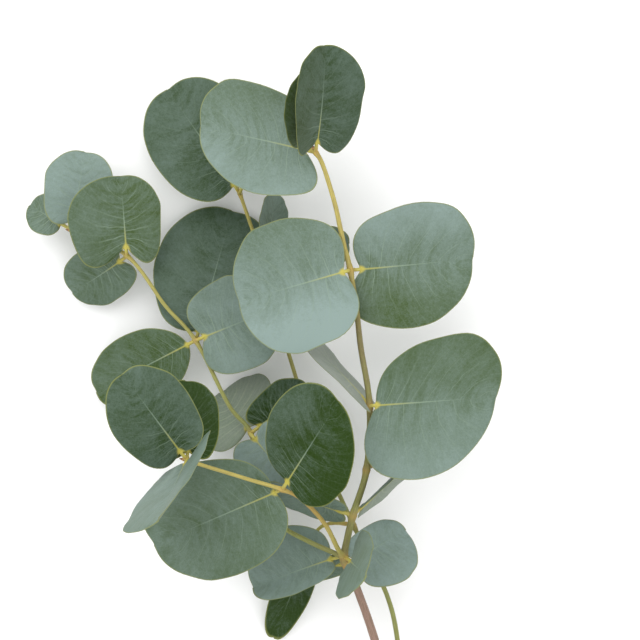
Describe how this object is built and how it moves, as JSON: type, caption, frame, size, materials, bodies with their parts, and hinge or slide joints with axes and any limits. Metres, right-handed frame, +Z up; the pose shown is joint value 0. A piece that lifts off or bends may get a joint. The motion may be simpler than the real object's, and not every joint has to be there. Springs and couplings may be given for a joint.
{
  "type": "eucalyptus branch",
  "caption": "Cut silver-dollar eucalyptus branch lying flat: a woody base, slender forked stems and round blue-green leaves in pairs on short petioles.",
  "frame": {"origin": "middle of the branch's footprint, on the surface it lies on", "axes": "+Y along the branch from the cut end to the growing tips; +Z up from the surface it lies on"},
  "size_m": [0.1624, 0.2682, 0.0885],
  "materials": {
    "woody_stem": "matte",
    "green_stem": "satin",
    "pale_leaf": "matte",
    "mid_leaf": "matte",
    "dark_leaf": "satin",
    "bud": "matte"
  },
  "bodies": {
    "root": {"main_stem": "woody_stem", "leaf_main_1_left": "mid_leaf", "leaf_main_1_right": "mid_leaf", "leaf_main_2_left": "mid_leaf", "leaf_main_2_right": "mid_leaf", "leaf_main_3_left": "pale_leaf", "leaf_main_3_right": "pale_leaf", "leaf_main_4_left": "pale_leaf", "leaf_main_4_right": "dark_leaf", "leaf_main_4_back": "mid_leaf", "bud_main_side": "bud", "bud_main_tip": "bud", "leaf_fork_front": "mid_leaf", "leaf_fork_left": "mid_leaf", "leaf_fork_right": "pale_leaf", "leaf_fork_back": "mid_leaf", "front_shoot": "green_stem", "leaf_front_1_low": "mid_leaf", "leaf_front_1_high": "dark_leaf", "leaf_front_2_left": "dark_leaf", "leaf_front_2_back": "dark_leaf", "leaf_front_2_low": "pale_leaf", "bud_front_tip": "bud", "left_shoot": "green_stem", "leaf_left_1_left": "mid_leaf", "leaf_left_1_right": "pale_leaf", "leaf_left_1_back": "dark_leaf", "leaf_left_2_back": "dark_leaf", "leaf_left_2_left": "mid_leaf", "leaf_left_2_front": "pale_leaf", "leaf_left_3_up": "pale_leaf", "leaf_left_3_low": "mid_leaf", "leaf_left_4_up": "pale_leaf", "leaf_left_4_left": "mid_leaf", "bud_left_tip": "bud", "back_stem": "green_stem", "leaf_back_1_low": "dark_leaf", "leaf_back_2_up": "mid_leaf", "leaf_back_2_right": "mid_leaf", "leaf_back_3_left": "dark_leaf", "leaf_back_3_right": "mid_leaf", "bud_back_tip": "bud"}
  },
  "joints": []
}
